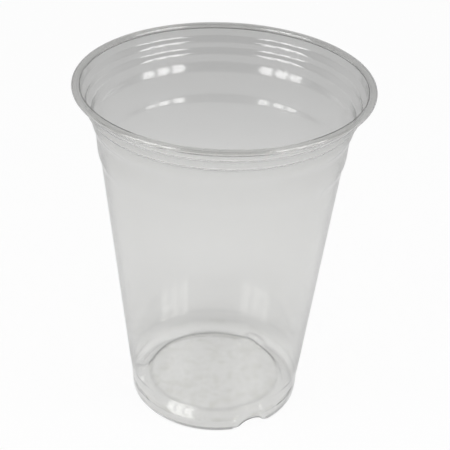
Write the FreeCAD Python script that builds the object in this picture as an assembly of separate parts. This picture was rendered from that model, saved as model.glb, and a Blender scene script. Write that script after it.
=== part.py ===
import FreeCAD, Part
import math
import os

# Clear plastic drinking cup, formed in one piece from a single thin sheet.
# Lengths are in millimetres and angles in degrees. The origin is at the centre
# of the foot, on the surface that the cup stands on, and +Z points up.

# Overall size and sheet
cup_height = 120.0
rim_diameter = 98.0
sheet = 0.35

# Rolled rim, an oval bead that the sheet is curled into
bead_width = 2.7
bead_height = 1.7
bead_blunt = 0.3
curl_gap = 0.25

# Shoulders below the rim, from the top down
# Each has the height of its upper edge, its drop and its step inward.
lid_ledge_height = 115.7
lid_ledge_drop = 1.4
lid_ledge_step = 1.5

neck_ledge_height = 111.9
neck_ledge_drop = 1.4
neck_ledge_step = 1.5

upper_ring_height = 106.95
upper_ring_drop = 2.3
upper_ring_step = 1.15

lower_ring_height = 96.0
lower_ring_drop = 2.9
lower_ring_step = 1.0

# Inward lean of the short bands between the shoulders, per millimetre of height
band_draft = 0.08

# Heel, where the tapered wall steps in to the foot
heel_height = 10.6
heel_drop = 1.2
heel_step = 0.3
heel_radius = 30.3

# Foot ring and the raised panel inside it
foot_radius = 29.4
foot_blunt = 1.2
ring_inner_radius = 25.6
panel_height = 4.7
panel_radius = 23.1

# Arched notches that lift the foot ring off the table
notch_count = 3
notch_azimuth = 28.0
notch_height = 3.0
notch_half_width = 6.2
notch_flare = 2.4
notch_overrun = 3.0

origin = FreeCAD.Vector(0, 0, 0)
up = FreeCAD.Vector(0, 0, 1)


def at(radius, height):
    """A point in the plane of X and Z, where each outline is drawn."""
    return FreeCAD.Vector(radius, 0, height)


def shifted_corners(corners, distance):
    """The corners of the same path moved to its left.

    The straight runs move by the distance, so the sheet keeps one thickness
    round every bend.
    """
    points = [at(r, z) for r, z in corners]
    runs = [(b - a).normalize() for a, b in zip(points, points[1:])]
    lefts = [FreeCAD.Vector(-run.z, 0, run.x) for run in runs]
    moved = []
    for index, point in enumerate(points):
        before = lefts[max(index - 1, 0)]
        after = lefts[min(index, len(lefts) - 1)]
        bisector = before + after
        target = point + bisector * (2 * distance / bisector.dot(bisector))
        moved.append((target.x, target.z))
    return moved


def face_within(corners):
    """The flat face of the section that the corners enclose."""
    points = [at(r, z) for r, z in corners]
    return Part.Face(Part.makePolygon(points + points[:1]))


def foot_corners():
    """Outer side of the base, from the axis to the heel."""
    return [
        (0, panel_height),
        (panel_radius, panel_height),
        (ring_inner_radius, 0),
        (foot_radius - foot_blunt, 0),
        (foot_radius, foot_blunt),
        (heel_radius - heel_step, heel_height - heel_drop),
    ]


def wall_corners():
    """Outer side of the tapered wall, its shoulders and the neck, going up."""
    shoulders = [
        (lid_ledge_height, lid_ledge_drop, lid_ledge_step),
        (neck_ledge_height, neck_ledge_drop, neck_ledge_step),
        (upper_ring_height, upper_ring_drop, upper_ring_step),
        (lower_ring_height, lower_ring_drop, lower_ring_step),
    ]
    radius = rim_diameter / 2 - bead_width + sheet
    height = cup_height
    corners = []
    for top, drop, step in shoulders:
        radius -= (height - top) * band_draft
        corners.append((radius, top))
        radius -= step
        height = top - drop
        corners.append((radius, height))
    corners.append((heel_radius, heel_height))
    return corners[::-1]


def bead_corners():
    """Inside of the roll, from the top of the neck round to the curled edge."""
    neck_radius = rim_diameter / 2 - bead_width + sheet
    outer_radius = rim_diameter / 2 - sheet
    top = cup_height - sheet
    bottom = cup_height - bead_height + sheet
    return [
        (neck_radius, top - bead_blunt),
        (neck_radius + bead_blunt, top),
        (outer_radius - bead_blunt, top),
        (outer_radius, top - bead_blunt),
        (outer_radius, bottom + bead_blunt),
        (outer_radius - bead_blunt, bottom),
        (neck_radius + curl_gap, bottom),
    ]


def arch_face(offset):
    """Area under a bell-shaped arch that lies the offset above the notch.

    The crown and the two flares are arcs that meet tangentially. The area goes
    below the table, so that cutting it away leaves the foot open.
    """
    half_turn = 2 * math.atan2(notch_height, notch_half_width)
    reach = notch_half_width / math.sin(half_turn)
    crown = reach - notch_flare
    crown_centre = notch_height - crown
    crown_radius = crown + offset
    flare_radius = notch_flare - offset
    join_x = crown_radius * math.sin(half_turn)
    join_z = crown_centre + crown_radius * math.cos(half_turn)
    middle_x = notch_half_width - flare_radius * math.sin(half_turn / 2)
    middle_z = notch_flare - flare_radius * math.cos(half_turn / 2)
    below = -notch_height

    left_end = at(-notch_half_width, offset)
    left_join = at(-join_x, join_z)
    right_join = at(join_x, join_z)
    right_end = at(notch_half_width, offset)
    left_foot = at(-notch_half_width, below)
    right_foot = at(notch_half_width, below)
    edges = [
        Part.Arc(left_end, at(-middle_x, middle_z), left_join).toShape(),
        Part.Arc(left_join, at(0, notch_height + offset), right_join).toShape(),
        Part.Arc(right_join, at(middle_x, middle_z), right_end).toShape(),
        Part.makeLine(right_end, right_foot),
        Part.makeLine(right_foot, left_foot),
        Part.makeLine(left_foot, left_end),
    ]
    return Part.Face(Part.Wire(edges))


def notch_tunnel(offset, azimuth):
    """The arch drawn out along a radius, right through the foot ring."""
    inner_end = panel_radius - notch_overrun
    outer_end = foot_radius + notch_overrun
    face = arch_face(offset)
    face.translate(FreeCAD.Vector(0, -outer_end, 0))
    tunnel = face.extrude(FreeCAD.Vector(0, outer_end - inner_end, 0))
    tunnel.rotate(origin, up, azimuth)
    return tunnel


def make_shell():
    """The whole sheet turned about the axis, before the notches."""
    outer = foot_corners() + wall_corners() + bead_corners()
    inner = shifted_corners(outer, sheet)
    return face_within(outer + inner[::-1]).revolve(origin, up, 360)


def make_filled_foot():
    """All that lies above the outer side of the foot, up to the heel."""
    corners = foot_corners()
    corners.append((0, corners[-1][1]))
    return face_within(corners).revolve(origin, up, 360)


def make_cup():
    """The sheet with its foot ring lifted over each notch."""
    cup = make_shell()
    filled_foot = make_filled_foot()
    for index in range(notch_count):
        azimuth = notch_azimuth + index * 360 / notch_count
        opening = notch_tunnel(0, azimuth)
        lining = notch_tunnel(sheet, azimuth)
        arch = lining.cut(opening).common(filled_foot)
        cup = cup.cut(lining).fuse(arch)
    return cup.removeSplitter()


def single_solid(shape):
    """The one solid that the shape holds."""
    if len(shape.Solids) != 1:
        raise ValueError("the cup must be one solid, not %d" % len(shape.Solids))
    return shape.Solids[0]


os.makedirs("parts", exist_ok=True)
cup = single_solid(make_cup())
cup.exportStep(os.path.join("parts", "cup.step"))
print("cup valid %s, volume %.0f mm3, faces %d" % (cup.isValid(), cup.Volume, len(cup.Faces)))
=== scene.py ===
import logging
import math
from dataclasses import dataclass, field
from enum import Enum

import bmesh
import bpy
from mathutils import Matrix, Vector


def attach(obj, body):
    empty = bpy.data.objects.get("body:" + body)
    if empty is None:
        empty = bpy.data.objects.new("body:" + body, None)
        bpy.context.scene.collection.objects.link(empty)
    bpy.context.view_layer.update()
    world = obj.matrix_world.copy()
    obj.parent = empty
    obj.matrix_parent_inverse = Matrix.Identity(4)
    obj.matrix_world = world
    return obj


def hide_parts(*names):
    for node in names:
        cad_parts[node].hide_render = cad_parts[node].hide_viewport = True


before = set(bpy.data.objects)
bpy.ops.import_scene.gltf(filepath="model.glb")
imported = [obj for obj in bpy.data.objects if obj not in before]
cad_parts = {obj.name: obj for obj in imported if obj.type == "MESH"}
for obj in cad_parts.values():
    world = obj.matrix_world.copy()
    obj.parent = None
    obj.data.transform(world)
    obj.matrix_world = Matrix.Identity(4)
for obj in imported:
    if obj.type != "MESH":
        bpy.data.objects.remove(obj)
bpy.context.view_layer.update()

# Clear cold-drink cup, thermoformed in one piece from thin PET sheet.
# Lengths in the classes are in millimetres, and angles in degrees. The cup
# stands at the origin, +Z is up and the viewer looks along +Y.

MM = 0.001
WHITE = (1.0, 1.0, 1.0, 1.0)
# Share of painted shade at the sheet's tight bends, standing in for the dark lines that refraction
# draws there, kept on the mesh's points
BEND_SHADE = "bend_shade"
log = logging.getLogger("cup")


class Layer(Enum):
    """The kind of light path that a surface answers."""

    CAMERA = "Is Camera Ray"
    GLOSSY = "Is Glossy Ray"
    TRANSMISSION = "Is Transmission Ray"
    SHADOW = "Is Shadow Ray"


def srgb(code: str) -> tuple[float, float, float, float]:
    """Turns an sRGB hex colour to linear light.

    Args:
        code: Six hex digits after a hash.

    Returns:
        Red, green and blue in linear light, and a full alpha.
    """
    digits = code.lstrip("#")
    channels = [int(digits[i : i + 2], 16) / 255 for i in (0, 2, 4)]
    linear = [c / 12.92 if c <= 0.04045 else ((c + 0.055) / 1.055) ** 2.4 for c in channels]
    return (linear[0], linear[1], linear[2], 1.0)


def add_node(
    tree: bpy.types.NodeTree,
    kind: str,
    settings: dict | None = None,
    values: dict | None = None,
    links: dict | None = None,
) -> bpy.types.Node:
    """Adds a node with its settings, socket values and incoming links.

    Args:
        tree: The node tree that gets the node.
        kind: The node's type name.
        settings: Attributes of the node itself.
        values: Default values by input socket.
        links: Output sockets that feed this node, by input socket.

    Returns:
        The new node.
    """
    node = tree.nodes.new(kind)
    for name, value in (settings or {}).items():
        setattr(node, name, value)
    for socket, value in (values or {}).items():
        node.inputs[socket].default_value = value
    for socket, source in (links or {}).items():
        tree.links.new(source, node.inputs[socket])
    return node


def empty_tree(owner: bpy.types.Material | bpy.types.World) -> bpy.types.NodeTree:
    """Gives a material or world an empty node tree.

    Args:
        owner: The material or world.

    Returns:
        Its node tree, without any node.
    """
    owner.use_nodes = True
    owner.node_tree.nodes.clear()
    return owner.node_tree


def finished(name: str, bm: bmesh.types.BMesh, material: bpy.types.Material) -> bpy.types.Object:
    """Turns a bmesh into a smooth-shaded object with one material.

    Args:
        name: The object's name.
        bm: The mesh in metres, which is freed.
        material: The finish of every face.

    Returns:
        The new object, at the origin.
    """
    mesh = bpy.data.meshes.new(name)
    bm.to_mesh(mesh)
    bm.free()
    mesh.materials.append(material)
    mesh.shade_smooth()
    piece = bpy.data.objects.new(name, mesh)
    bpy.context.scene.collection.objects.link(piece)
    return piece


@dataclass(frozen=True)
class ClearPet:
    """Clear PET sheet, thermoformed and glossy on both sides.

    The eye gets a colourless gloss, a pale grey veil that each layer of sheet
    adds, and reflections that waver where the sheet was drawn down the mould.
    The gloss has the usual IOR of PET. The bend of light is weaker, because
    a thin sheet shifts what is behind it very little.
    """

    name: str = "Clear PET sheet, thermoformed gloss"
    veil: str = "#f8f8f7"
    # Painted shade for the tight bends of the sheet
    painted_bend_shade: str = "#8b8b8a"
    # Darker where the sheet is met edge on: partly the longer path through the sheet, partly painted
    # shade for the dark edges that refraction draws
    slant_tint_and_shade: str = "#848483"
    slant_power: float = 10.0
    bend_ior: float = 1.16
    gloss_ior: float = 1.575
    gloss_roughness: float = 0.12
    roughness: float = 0.08
    ripple_width: float = 9.0
    ripple_stretch: float = 4.0
    ripple_depth: float = 0.022
    ripple_top: float = 106.0
    ripple_fade: float = 5.0
    ripple_left: float = 0.1
    mottle_width: float = 3.2
    mottle_depth: float = 0.2
    mottle_height: float = 5.1
    mottle_near: float = 0.5
    mottle_far: float = 1.3
    mottle_clear: float = 0.42
    mottle_full: float = 0.68
    mottle_veil: str = "#f0f0ed"
    shade_face: str = "#f6f6f5"
    shade_edge: str = "#6b6b6a"

    def panel_share(self, tree: bpy.types.NodeTree) -> bpy.types.NodeSocket:
        """One at the height of the raised base panel, and nothing above and below it.

        Args:
            tree: The material's node tree.

        Returns:
            The socket of the share.
        """
        place = add_node(tree, "ShaderNodeTexCoord")
        parts = add_node(tree, "ShaderNodeSeparateXYZ", links={0: place.outputs["Object"]})
        above = add_node(
            tree,
            "ShaderNodeMath",
            {"operation": "SUBTRACT"},
            {1: self.mottle_height * MM},
            {0: parts.outputs["Z"]},
        )
        apart = add_node(
            tree, "ShaderNodeMath", {"operation": "ABSOLUTE"}, links={0: above.outputs["Value"]}
        )
        share = add_node(
            tree,
            "ShaderNodeMapRange",
            {"interpolation_type": "SMOOTHSTEP"},
            {
                "From Min": self.mottle_near * MM,
                "From Max": self.mottle_far * MM,
                "To Min": 1.0,
                "To Max": 0.0,
            },
            {"Value": apart.outputs["Value"]},
        )
        return share.outputs["Result"]

    def veil_colour(self, tree: bpy.types.NodeTree) -> bpy.types.NodeSocket:
        """Greys the sheet with painted shade at its tight bends, and darkens it where it is met edge
        on, partly for the longer path through the sheet and partly as painted shade.

        Args:
            tree: The material's node tree.

        Returns:
            The colour socket for the sheet.
        """
        place = add_node(tree, "ShaderNodeTexCoord")
        blotch = add_node(
            tree,
            "ShaderNodeTexNoise",
            values={"Scale": 1.0 / (self.mottle_width * MM), "Detail": 3.0, "Roughness": 0.6},
            links={"Vector": place.outputs["Object"]},
        )
        marked = add_node(
            tree,
            "ShaderNodeMapRange",
            {"interpolation_type": "SMOOTHSTEP"},
            {"From Min": self.mottle_clear, "From Max": self.mottle_full},
            {"Value": blotch.outputs["Fac"]},
        )
        on_panel = add_node(
            tree,
            "ShaderNodeMath",
            {"operation": "MULTIPLY"},
            links={0: marked.outputs["Result"], 1: self.panel_share(tree)},
        )
        clear = add_node(
            tree,
            "ShaderNodeMix",
            {"data_type": "RGBA"},
            {6: srgb(self.veil), 7: srgb(self.mottle_veil)},
            {0: on_panel.outputs["Value"]},
        )
        # Painted shade at the foot ring's bottom bend and at the panel's edge
        share = add_node(tree, "ShaderNodeAttribute", {"attribute_name": BEND_SHADE})
        bends = add_node(
            tree,
            "ShaderNodeMix",
            {"data_type": "RGBA"},
            {7: srgb(self.painted_bend_shade)},
            {0: share.outputs["Fac"], 6: clear.outputs[2]},
        )
        # Edge-on darkening: the longer path through the sheet, and painted shade for the dark edges
        # of refraction
        facing = add_node(tree, "ShaderNodeLayerWeight", values={"Blend": 0.5})
        slant = add_node(
            tree,
            "ShaderNodeMath",
            {"operation": "POWER"},
            {1: self.slant_power},
            {0: facing.outputs["Facing"]},
        )
        edges = add_node(
            tree,
            "ShaderNodeMix",
            {"data_type": "RGBA"},
            {7: srgb(self.slant_tint_and_shade)},
            {0: slant.outputs["Value"], 6: bends.outputs[2]},
        )
        return edges.outputs[2]

    def relief(self, tree: bpy.types.NodeTree) -> bpy.types.NodeSocket:
        """Draw lines down the wall, and a finer mottle on the raised panel.

        Args:
            tree: The material's node tree.

        Returns:
            The normal socket for the sheet.
        """
        place = add_node(tree, "ShaderNodeTexCoord")
        stretch = add_node(
            tree,
            "ShaderNodeMapping",
            values={"Scale": (1.0, 1.0, 1.0 / self.ripple_stretch)},
            links={"Vector": place.outputs["Object"]},
        )
        ripple = add_node(
            tree,
            "ShaderNodeTexNoise",
            values={"Scale": 1.0 / (self.ripple_width * MM), "Detail": 1.0, "Roughness": 0.4},
            links={"Vector": stretch.outputs["Vector"]},
        )
        mottle = add_node(
            tree,
            "ShaderNodeTexNoise",
            values={"Scale": 1.0 / (self.mottle_width * MM), "Detail": 2.0, "Roughness": 0.5},
            links={"Vector": place.outputs["Object"]},
        )
        height = add_node(tree, "ShaderNodeSeparateXYZ", links={0: place.outputs["Object"]})
        base = add_node(
            tree,
            "ShaderNodeMath",
            {"operation": "MULTIPLY"},
            {1: self.mottle_depth / self.ripple_depth},
            {0: self.panel_share(tree)},
        )
        drawn = add_node(
            tree,
            "ShaderNodeMapRange",
            {"interpolation_type": "SMOOTHSTEP"},
            {
                "From Min": self.ripple_top * MM,
                "From Max": (self.ripple_top + self.ripple_fade) * MM,
                "To Min": 1.0,
                "To Max": self.ripple_left,
            },
            {"Value": height.outputs["Z"]},
        )
        faded = add_node(
            tree,
            "ShaderNodeMath",
            {"operation": "MULTIPLY"},
            links={0: ripple.outputs["Fac"], 1: drawn.outputs["Result"]},
        )
        mixed = add_node(
            tree,
            "ShaderNodeMath",
            {"operation": "MULTIPLY_ADD"},
            links={
                0: mottle.outputs["Fac"],
                1: base.outputs["Value"],
                2: faded.outputs["Value"],
            },
        )
        bump = add_node(
            tree,
            "ShaderNodeBump",
            values={"Strength": 1.0, "Distance": self.ripple_depth * MM},
            links={"Height": mixed.outputs["Value"]},
        )
        return bump.outputs["Normal"]

    def shade(self, tree: bpy.types.NodeTree) -> bpy.types.NodeSocket:
        """Lets lamp light through, less of it where the sheet is met edge on.

        Args:
            tree: The material's node tree.

        Returns:
            The shader socket for rays towards the lamps.
        """
        facing = add_node(tree, "ShaderNodeLayerWeight", values={"Blend": 0.5})
        colour = add_node(
            tree,
            "ShaderNodeMix",
            {"data_type": "RGBA"},
            {6: srgb(self.shade_face), 7: srgb(self.shade_edge)},
            {0: facing.outputs["Facing"]},
        )
        through = add_node(
            tree, "ShaderNodeBsdfTransparent", links={"Color": colour.outputs[2]}
        )
        return through.outputs["BSDF"]

    def build(self) -> bpy.types.Material:
        """Makes the material, which lets lamp light through to the floor."""
        material = bpy.data.materials.new(self.name)
        tree = empty_tree(material)
        normal = self.relief(tree)
        sheet = add_node(
            tree,
            "ShaderNodeBsdfPrincipled",
            values={
                "IOR": self.bend_ior,
                "Roughness": self.roughness,
                "Transmission Weight": 1.0,
                "Coat Weight": 1.0,
                "Coat IOR": self.gloss_ior,
                "Coat Roughness": self.gloss_roughness,
            },
            links={
                "Base Color": self.veil_colour(tree),
                "Normal": normal,
                "Coat Normal": normal,
            },
        )
        path = add_node(tree, "ShaderNodeLightPath")
        both = add_node(
            tree,
            "ShaderNodeMixShader",
            links={
                0: path.outputs[Layer.SHADOW.value],
                1: sheet.outputs["BSDF"],
                2: self.shade(tree),
            },
        )
        add_node(tree, "ShaderNodeOutputMaterial", links={"Surface": both.outputs["Shader"]})
        return material


@dataclass(frozen=True)
class PaperSweep:
    """Matt white background paper, lit by the lamps and shown pale.

    The greys are what gloss and clear sheet see of the paper, by distance from
    the cup's axis: white under the base, a painted shadow ring round the foot,
    and darker further out. The contact shade is painted where the foot ring
    stands, in front and to the right only, and it stops at the notch.
    """

    name: str = "Matt white background paper"
    paper: str = "#f2f2f2"
    # Stops in millimetres from the axis; the dip from 34 to 49 mm is a painted shadow ring round the
    # foot
    greys_with_painted_shadow: tuple[tuple[float, str], ...] = (
        (30.0, "#ffffff"),
        (34.0, "#f0f0f0"),
        (38.5, "#cdcdcd"),
        (49.0, "#e5e5e5"),
        (90.0, "#eaeaea"),
        (150.0, "#e0e0e0"),
        (200.0, "#cacaca"),
        (250.0, "#bcbcbc"),
        (320.0, "#b0b0b0"),
    )
    contact_grey: str = "#6c6c6c"
    contact_radius: float = 28.3
    contact_width: float = 0.9
    contact_side: tuple[float, float, float] = (0.55, -0.83, 0.0)
    contact_full: float = 0.9
    contact_strength: float = 0.85
    notch_place: tuple[float, float, float] = (13.7, -25.8, 0.0)
    notch_clear: float = 6.0
    notch_fade: float = 1.5
    glow: float = 0.94
    glow_through: float = 0.6

    def graded_grey(
        self, tree: bpy.types.NodeTree, distance: bpy.types.NodeSocket
    ) -> bpy.types.NodeSocket:
        """The paper's grey by distance from the cup's axis, with the painted shadow ring round the
        foot.

        Args:
            tree: The material's node tree.
            distance: Distance from the axis, in metres.

        Returns:
            The colour socket for gloss and clear sheet.
        """
        reach = self.greys_with_painted_shadow[-1][0]
        along = add_node(
            tree, "ShaderNodeMath", {"operation": "DIVIDE"}, {1: reach * MM}, {0: distance}
        )
        grey = add_node(tree, "ShaderNodeValToRGB", links={"Fac": along.outputs["Value"]})
        stops = grey.color_ramp.elements
        stops[0].position = self.greys_with_painted_shadow[0][0] / reach
        stops[0].color = srgb(self.greys_with_painted_shadow[0][1])
        stops[1].position = 1.0
        stops[1].color = srgb(self.greys_with_painted_shadow[-1][1])
        for radius, colour in self.greys_with_painted_shadow[1:-1]:
            stops.new(radius / reach).color = srgb(colour)
        return grey.outputs["Color"]

    def under_ring(
        self, tree: bpy.types.NodeTree, distance: bpy.types.NodeSocket
    ) -> bpy.types.NodeSocket:
        """One under the foot ring, and nothing beside it.

        Args:
            tree: The material's node tree.
            distance: Distance from the axis, in metres.

        Returns:
            The socket of the share.
        """
        off_ring = add_node(
            tree,
            "ShaderNodeMath",
            {"operation": "SUBTRACT"},
            {1: self.contact_radius * MM},
            {0: distance},
        )
        beside = add_node(
            tree, "ShaderNodeMath", {"operation": "ABSOLUTE"}, links={0: off_ring.outputs["Value"]}
        )
        share = add_node(
            tree,
            "ShaderNodeMapRange",
            {"interpolation_type": "SMOOTHSTEP"},
            {"From Min": 0.0, "From Max": self.contact_width * MM, "To Min": 1.0, "To Max": 0.0},
            {"Value": beside.outputs["Value"]},
        )
        return share.outputs["Result"]

    def shaded_side(
        self, tree: bpy.types.NodeTree, place: bpy.types.NodeSocket
    ) -> bpy.types.NodeSocket:
        """How much of the contact shade is kept, by side and away from the notch.

        Args:
            tree: The material's node tree.
            place: The point on the paper.

        Returns:
            The socket of the share.
        """
        outward = add_node(
            tree, "ShaderNodeVectorMath", {"operation": "NORMALIZE"}, links={0: place}
        )
        facing = add_node(
            tree,
            "ShaderNodeVectorMath",
            {"operation": "DOT_PRODUCT"},
            {1: self.contact_side},
            {0: outward.outputs["Vector"]},
        )
        lee = add_node(
            tree,
            "ShaderNodeMapRange",
            {"interpolation_type": "SMOOTHSTEP"},
            {"From Min": 0.0, "From Max": self.contact_full, "To Max": self.contact_strength},
            {"Value": facing.outputs["Value"]},
        )
        notch = add_node(
            tree,
            "ShaderNodeVectorMath",
            {"operation": "DISTANCE"},
            {1: tuple(axis * MM for axis in self.notch_place)},
            {0: place},
        )
        past_notch = add_node(
            tree,
            "ShaderNodeMapRange",
            {"interpolation_type": "SMOOTHSTEP"},
            {
                "From Min": self.notch_clear * MM,
                "From Max": (self.notch_clear + self.notch_fade) * MM,
            },
            {"Value": notch.outputs["Value"]},
        )
        side = add_node(
            tree,
            "ShaderNodeMath",
            {"operation": "MULTIPLY"},
            links={0: lee.outputs["Result"], 1: past_notch.outputs["Result"]},
        )
        return side.outputs["Value"]

    def shown_colour(
        self, tree: bpy.types.NodeTree, path: bpy.types.Node
    ) -> bpy.types.NodeSocket:
        """White to the camera and graded grey to the rest, darker under the foot ring.

        Args:
            tree: The material's node tree.
            path: The kind of light path.

        Returns:
            The colour socket of the paper's glow.
        """
        place = add_node(tree, "ShaderNodeTexCoord")
        distance = add_node(
            tree, "ShaderNodeVectorMath", {"operation": "LENGTH"}, links={0: place.outputs["Object"]}
        )
        dark = add_node(
            tree,
            "ShaderNodeMath",
            {"operation": "MULTIPLY"},
            links={
                0: self.under_ring(tree, distance.outputs["Value"]),
                1: self.shaded_side(tree, place.outputs["Object"]),
            },
        )
        plain = add_node(
            tree,
            "ShaderNodeMix",
            {"data_type": "RGBA"},
            {7: WHITE},
            {
                0: path.outputs[Layer.CAMERA.value],
                6: self.graded_grey(tree, distance.outputs["Value"]),
            },
        )
        shown = add_node(
            tree,
            "ShaderNodeMix",
            {"data_type": "RGBA"},
            {7: srgb(self.contact_grey)},
            {0: dark.outputs["Value"], 6: plain.outputs[2]},
        )
        return shown.outputs[2]

    def glow_share(
        self, tree: bpy.types.NodeTree, path: bpy.types.Node
    ) -> bpy.types.NodeSocket:
        """How much of the paper is glow and not lamp light.

        The camera gets nearly all glow. Gloss and clear sheet get less of it.

        Args:
            tree: The material's node tree.
            path: The kind of light path.

        Returns:
            The socket of the share.
        """
        other = add_node(
            tree,
            "ShaderNodeMath",
            {"operation": "MAXIMUM"},
            links={
                0: path.outputs[Layer.GLOSSY.value],
                1: path.outputs[Layer.TRANSMISSION.value],
            },
        )
        other_share = add_node(
            tree,
            "ShaderNodeMath",
            {"operation": "MULTIPLY"},
            {1: self.glow_through},
            {0: other.outputs["Value"]},
        )
        camera_share = add_node(
            tree,
            "ShaderNodeMath",
            {"operation": "MULTIPLY"},
            {1: self.glow},
            {0: path.outputs[Layer.CAMERA.value]},
        )
        share = add_node(
            tree,
            "ShaderNodeMath",
            {"operation": "MAXIMUM"},
            links={0: camera_share.outputs["Value"], 1: other_share.outputs["Value"]},
        )
        return share.outputs["Value"]

    def build(self) -> bpy.types.Material:
        """Makes the material: white to the camera, graded grey seen through or in gloss."""
        material = bpy.data.materials.new(self.name)
        tree = empty_tree(material)
        path = add_node(tree, "ShaderNodeLightPath")
        lit = add_node(tree, "ShaderNodeBsdfDiffuse", values={"Color": srgb(self.paper)})
        glow = add_node(
            tree, "ShaderNodeEmission", links={"Color": self.shown_colour(tree, path)}
        )
        both = add_node(
            tree,
            "ShaderNodeMixShader",
            links={
                0: self.glow_share(tree, path),
                1: lit.outputs["BSDF"],
                2: glow.outputs["Emission"],
            },
        )
        add_node(tree, "ShaderNodeOutputMaterial", links={"Surface": both.outputs["Shader"]})
        return material


@dataclass(frozen=True)
class Bend:
    """A bend of the sheet's section, with the radius and height of its corner."""

    radius: float
    height: float
    rounding: float = 0.0
    facets: int = 4

    def point(self) -> Vector:
        """The corner in metres, in the plane of X and Z."""
        return Vector((self.radius * MM, 0.0, self.height * MM))


@dataclass
class Rim:
    """The rolled bead round the mouth.

    The diameter is 0.04 mm under the solid's. The solid's rim has fewer facets,
    and this finer one has to stay inside its box.
    """

    top: float = 120.0
    diameter: float = 97.96
    width: float = 2.7
    height: float = 1.7
    rounding: float = 0.43
    curl_gap: float = 0.25

    def neck_radius(self, sheet: float) -> float:
        """Outer radius of the sheet where it enters the bead.

        Args:
            sheet: Thickness of the sheet.

        Returns:
            The radius in millimetres.
        """
        return self.diameter / 2 - self.width + sheet

    def bends(self, sheet: float) -> list[Bend]:
        """Inside of the roll, from the neck round to the curled edge.

        Args:
            sheet: Thickness of the sheet.

        Returns:
            The bends in order along the sheet.
        """
        neck = self.neck_radius(sheet)
        outer = self.diameter / 2 - sheet
        top = self.top - sheet
        bottom = self.top - self.height + sheet
        return [
            Bend(neck, top, self.rounding),
            Bend(outer, top, self.rounding),
            Bend(outer, bottom, self.rounding),
            Bend(neck + self.curl_gap, bottom),
        ]


@dataclass
class Wall:
    """The tapered wall, with the ledges and stacking rings below the rim.

    Each shoulder has the height of its upper edge, its drop, its step inward
    and the rounding and facets of its two edges. The ledges turn the most in
    the shortest run, so they have the most facets.
    """

    shoulders: list[tuple[float, float, float, float, int]] = field(
        default_factory=lambda: [
            (115.7, 1.4, 1.5, 1.2, 10),
            (111.9, 1.4, 1.5, 1.2, 10),
            (106.95, 2.3, 1.15, 6.0, 4),
            (96.0, 2.9, 1.0, 10.0, 4),
        ]
    )
    band_draft: float = 0.08
    heel_height: float = 10.6
    heel_radius: float = 30.3
    heel_rounding: float = 0.6

    def bends(self, neck_radius: float, top: float) -> list[Bend]:
        """Outer side of the wall, going up from the heel.

        Args:
            neck_radius: Outer radius where the wall meets the bead.
            top: Height of the rim.

        Returns:
            The bends in order along the sheet.
        """
        radius = neck_radius
        height = top
        bends = []
        for upper, drop, step, rounding, facets in self.shoulders:
            radius -= (height - upper) * self.band_draft
            bends.append(Bend(radius, upper, rounding, facets))
            radius -= step
            height = upper - drop
            bends.append(Bend(radius, height, rounding, facets))
        bends.append(Bend(self.heel_radius, self.heel_height, self.heel_rounding))
        return bends[::-1]


@dataclass
class Foot:
    """The foot ring, the raised panel inside it and the arched notches."""

    radius: float = 29.4
    rounding: float = 1.7
    inner_radius: float = 25.6
    inner_rounding: float = 3.2
    panel_height: float = 4.7
    panel_radius: float = 23.1
    panel_rounding: float = 2.6
    heel_drop: float = 1.2
    heel_step: float = 0.3
    heel_rounding: float = 0.6
    notch_count: int = 3
    notch_azimuth: float = 28.0
    notch_height: float = 3.0
    notch_half_width: float = 6.2
    notch_flare: float = 2.4
    notch_reach: float = 5.6
    # Painted shade at the foot ring's bottom bend and at the panel's edge
    ring_shade_inset: float = 0.7
    ring_shade_height: float = 0.3
    ring_shade_reach: float = 1.2
    panel_shade_reach: float = 1.1
    shade_strength: float = 0.3

    def bends(self, wall: Wall) -> list[Bend]:
        """Outer side of the base, from the axis to the heel.

        Args:
            wall: The wall that the foot carries.

        Returns:
            The bends in order along the sheet.
        """
        return [
            Bend(0.0, self.panel_height),
            Bend(self.panel_radius, self.panel_height, self.panel_rounding),
            Bend(self.inner_radius, 0.0, self.inner_rounding),
            Bend(self.radius, 0.0, self.rounding),
            Bend(
                wall.heel_radius - self.heel_step,
                wall.heel_height - self.heel_drop,
                self.heel_rounding,
            ),
        ]

    def shade_at(self, radius: float, height: float) -> float:
        """Share of painted shade at a point of the sheet, before the notches.

        Args:
            radius: Distance from the axis, in millimetres.
            height: Height above the table, in millimetres.

        Returns:
            From 0, clear, to 1, the darkest bend.
        """
        point = (radius, height)
        ring = (self.radius - self.ring_shade_inset, self.ring_shade_height)
        panel = (self.panel_radius, self.panel_height)
        nearest = min(
            math.dist(point, ring) / self.ring_shade_reach,
            math.dist(point, panel) / self.panel_shade_reach,
        )
        return self.shade_strength * max(0.0, 1 - nearest)

    def arch(self, offset: float) -> float:
        """Height of the bell-shaped arch at a distance from its middle.

        Args:
            offset: Distance along the ring, in millimetres.

        Returns:
            Height above the table, in millimetres.
        """
        side = abs(offset)
        if side >= self.notch_half_width:
            return 0.0
        half_turn = 2 * math.atan2(self.notch_height, self.notch_half_width)
        crown = self.notch_half_width / math.sin(half_turn) - self.notch_flare
        if side <= crown * math.sin(half_turn):
            return self.notch_height - crown + math.sqrt(crown**2 - side**2)
        return self.notch_flare - math.sqrt(
            self.notch_flare**2 - (self.notch_half_width - side) ** 2
        )

    def lift(self, bm: bmesh.types.BMesh) -> None:
        """Raises the foot ring over each notch, as the mould does.

        Args:
            bm: The turned sheet, in metres.
        """
        for index in range(self.notch_count):
            turn = math.radians(self.notch_azimuth + index * 360 / self.notch_count)
            outward = Vector((math.sin(turn), -math.cos(turn), 0.0))
            sideways = Vector((math.cos(turn), math.sin(turn), 0.0))
            for vert in bm.verts:
                height = vert.co.z / MM
                if height >= self.notch_reach or vert.co.dot(outward) <= 0:
                    continue
                radius = vert.co.xy.length / MM
                limit = self.panel_height if radius < self.inner_radius else self.notch_reach
                arch = self.arch(vert.co.dot(sideways) / MM)
                vert.co.z += arch * max(0.0, 1 - height / limit) * MM


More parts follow.
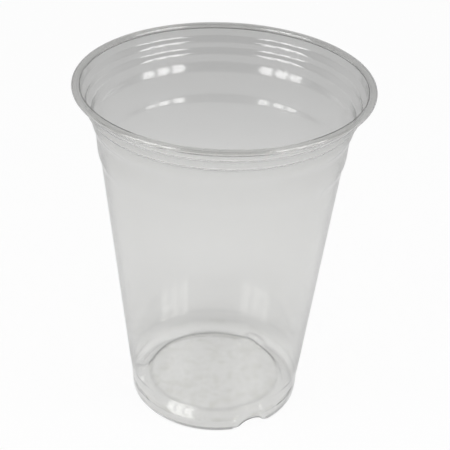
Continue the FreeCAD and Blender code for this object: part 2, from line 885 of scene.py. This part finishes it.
@dataclass
class Cup:
    """The whole sheet, from the middle of the base to the curled edge."""

    finish: ClearPet
    rim: Rim = field(default_factory=Rim)
    wall: Wall = field(default_factory=Wall)
    foot: Foot = field(default_factory=Foot)
    sheet: float = 0.35
    turns: int = 396
    longest_run: float = 8.0
    merge_gap: float = 0.002
    sliver: float = 0.0005
    flat_weight: int = 60

    def section(self, bm: bmesh.types.BMesh) -> None:
        """Draws the rounded section as one open path of edges.

        Args:
            bm: An empty mesh that receives the path.
        """
        bends = self.foot.bends(self.wall)
        bends += self.wall.bends(self.rim.neck_radius(self.sheet), self.rim.top)
        bends += self.rim.bends(self.sheet)
        verts = [bm.verts.new(bend.point()) for bend in bends]
        for first, second in zip(verts, verts[1:]):
            bm.edges.new((first, second))
        points = [bend.point() for bend in bends]
        for index, bend in enumerate(bends):
            if bend.rounding == 0.0:
                continue
            back = points[index - 1] - points[index]
            ahead = points[index + 1] - points[index]
            reach = bend.rounding * MM / math.tan(back.angle(ahead) / 2)
            bmesh.ops.bevel(
                bm,
                geom=[verts[index]],
                offset=reach,
                offset_type="OFFSET",
                segments=bend.facets,
                profile=0.5,
                affect="VERTICES",
                material=-1,
            )
        for edge in list(bm.edges):
            cuts = int(edge.calc_length() / (self.longest_run * MM))
            if cuts:
                bmesh.ops.subdivide_edges(bm, edges=[edge], cuts=cuts)

    def turned(self) -> bmesh.types.BMesh:
        """Spins the section round the axis into the sheet's outer side."""
        bm = bmesh.new()
        self.section(bm)
        bmesh.ops.spin(
            bm,
            geom=list(bm.verts) + list(bm.edges),
            cent=(0.0, 0.0, 0.0),
            axis=(0.0, 0.0, 1.0),
            angle=math.tau,
            steps=self.turns,
            use_merge=True,
        )
        bmesh.ops.remove_doubles(bm, verts=list(bm.verts), dist=self.merge_gap * MM)
        bmesh.ops.dissolve_degenerate(bm, edges=list(bm.edges), dist=self.sliver * MM)
        bmesh.ops.recalc_face_normals(bm, faces=list(bm.faces))
        widest = max(bm.faces, key=lambda face: face.calc_area())
        if widest.normal.dot(widest.calc_center_median()) < 0:
            bmesh.ops.reverse_faces(bm, faces=list(bm.faces))
        return bm

    def build(self) -> None:
        """Makes the cup, gives the sheet its thickness, attaches it to the root body and hides the
        imported cup.
        """
        bm = self.turned()
        # Painted shade at the tight bends, kept on each point before the notches lift the foot
        shade = bm.verts.layers.float.new(BEND_SHADE)
        for vert in bm.verts:
            vert[shade] = self.foot.shade_at(vert.co.xy.length / MM, vert.co.z / MM)
        self.foot.lift(bm)
        piece = finished("cup_sheet", bm, self.finish.build())
        wall = piece.modifiers.new("sheet thickness", "SOLIDIFY")
        wall.thickness = self.sheet * MM
        wall.offset = -1.0
        wall.use_even_offset = True
        wall.use_quality_normals = True
        flats = piece.modifiers.new("flat runs keep their own normals", "WEIGHTED_NORMAL")
        flats.weight = self.flat_weight
        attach(piece, "root")
        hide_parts("cup")
        log.info("%s: %d vertices before thickness", piece.name, len(piece.data.vertices))


@dataclass
class Studio:
    """The paper floor, the world round it and the softboxes."""

    finish: PaperSweep
    floor_radius: float = 4000.0
    floor_drop: float = 0.03
    floor_sides: int = 96
    through_grey: str = "#a0a0a0"
    room_grey: str = "#1e1e1e"
    backdrop_grey: str = "#a8a8a8"
    backdrop_start: float = -0.1
    backdrop_full: float = 0.5
    box_azimuths: tuple[float, ...] = (-67.0, -53.0, -38.0, 43.5, 58.0, 73.0)
    box_low: float = 3.0
    box_high: float = 50.0
    box_width: float = 11.0
    box_distance: float = 900.0
    box_aim: float = 100.0
    box_radiance: float = 3.9

    def floor(self) -> None:
        """Lays the round sheet of paper that the cup stands on."""
        bm = bmesh.new()
        bmesh.ops.create_circle(
            bm, cap_ends=True, segments=self.floor_sides, radius=self.floor_radius * MM
        )
        bmesh.ops.translate(bm, verts=list(bm.verts), vec=(0.0, 0.0, -self.floor_drop * MM))
        piece = finished("paper_floor", bm, self.finish.build())

    def world(self) -> None:
        """Makes the world white to the camera and grey through the sheet.

        Gloss sees a dark room on the viewer's side and a paler backdrop behind.
        """
        world = bpy.data.worlds.new("Studio")
        bpy.context.scene.world = world
        tree = empty_tree(world)
        direction = add_node(tree, "ShaderNodeTexCoord")
        parts = add_node(tree, "ShaderNodeSeparateXYZ", links={0: direction.outputs["Object"]})
        behind = add_node(
            tree,
            "ShaderNodeMapRange",
            {"interpolation_type": "SMOOTHSTEP"},
            {"From Min": self.backdrop_start, "From Max": self.backdrop_full},
            {"Value": parts.outputs["Y"]},
        )
        gloss = add_node(
            tree,
            "ShaderNodeMix",
            {"data_type": "RGBA"},
            {6: srgb(self.room_grey), 7: srgb(self.backdrop_grey)},
            {0: behind.outputs["Result"]},
        )
        path = add_node(tree, "ShaderNodeLightPath")
        seen = add_node(
            tree,
            "ShaderNodeMix",
            {"data_type": "RGBA"},
            {6: srgb(self.through_grey)},
            {0: path.outputs[Layer.GLOSSY.value], 7: gloss.outputs[2]},
        )
        shown = add_node(
            tree,
            "ShaderNodeMix",
            {"data_type": "RGBA"},
            {7: WHITE},
            {0: path.outputs[Layer.CAMERA.value], 6: seen.outputs[2]},
        )
        glow = add_node(tree, "ShaderNodeBackground", links={"Color": shown.outputs[2]})
        add_node(tree, "ShaderNodeOutputWorld", links={"Surface": glow.outputs["Background"]})

    def softboxes(self) -> None:
        """Hangs the tall, narrow boxes in an arc on each side of the viewer."""
        middle = math.radians((self.box_low + self.box_high) / 2)
        spread = math.radians((self.box_high - self.box_low) / 2)
        width = 2 * self.box_distance * math.tan(math.radians(self.box_width / 2)) * MM
        height = 2 * self.box_distance * math.tan(spread) * MM
        target = Vector((0.0, 0.0, self.box_aim)) * MM
        for index, azimuth in enumerate(self.box_azimuths):
            side = math.radians(azimuth)
            away = Vector(
                (
                    math.sin(side) * math.cos(middle),
                    -math.cos(side) * math.cos(middle),
                    math.sin(middle),
                )
            )
            lamp = bpy.data.lights.new("softbox_%d" % index, "AREA")
            lamp.shape = "RECTANGLE"
            lamp.size = width
            lamp.size_y = height
            lamp.energy = self.box_radiance * math.pi * width * height
            box = bpy.data.objects.new(lamp.name, lamp)
            box.matrix_world = Matrix.LocRotScale(
                target + away * self.box_distance * MM, away.to_track_quat("Z", "Y"), None
            )
            box.visible_camera = False
            bpy.context.scene.collection.objects.link(box)

    def build(self) -> None:
        """Sets up the floor, the world and the lamps."""
        self.floor()
        self.world()
        self.softboxes()
        log.info("studio: floor, world and %d softboxes", len(self.box_azimuths))


@dataclass(frozen=True)
class ViewCamera:
    """A camera in front of the cup, above it and looking down into it."""

    back: float = 394.9
    height: float = 304.3
    yaw: float = 0.271
    pitch: float = 31.1
    roll: float = 2.229
    lens: float = 108.15
    sensor: float = 36.0
    nearest: float = 10.0

    def build(self) -> None:
        """Places the camera and makes it the scene's own."""
        yaw = math.radians(self.yaw)
        pitch = math.radians(self.pitch)
        ahead = Vector(
            (
                math.sin(yaw) * math.cos(pitch),
                math.cos(yaw) * math.cos(pitch),
                -math.sin(pitch),
            )
        )
        right = Vector((math.cos(yaw), -math.sin(yaw), 0.0))
        turn = Matrix.Rotation(math.radians(-self.roll), 3, ahead)
        right = turn @ right
        above = right.cross(ahead)
        data = bpy.data.cameras.new("view")
        data.lens = self.lens
        data.sensor_width = self.sensor
        data.clip_start = self.nearest * MM
        camera = bpy.data.objects.new("view", data)
        axes = Matrix((right, above, -ahead)).transposed()
        place = Vector((0.0, -self.back, self.height)) * MM
        camera.matrix_world = Matrix.Translation(place) @ axes.to_4x4()
        bpy.context.scene.collection.objects.link(camera)
        bpy.context.scene.camera = camera


def main() -> None:
    """Builds the cup and its studio."""
    logging.basicConfig(level=logging.INFO, format="%(name)s: %(message)s")
    Cup(ClearPet()).build()
    Studio(PaperSweep()).build()
    ViewCamera().build()
    bpy.context.scene.view_settings.view_transform = "Standard"


if __name__ == "__main__":
    main()
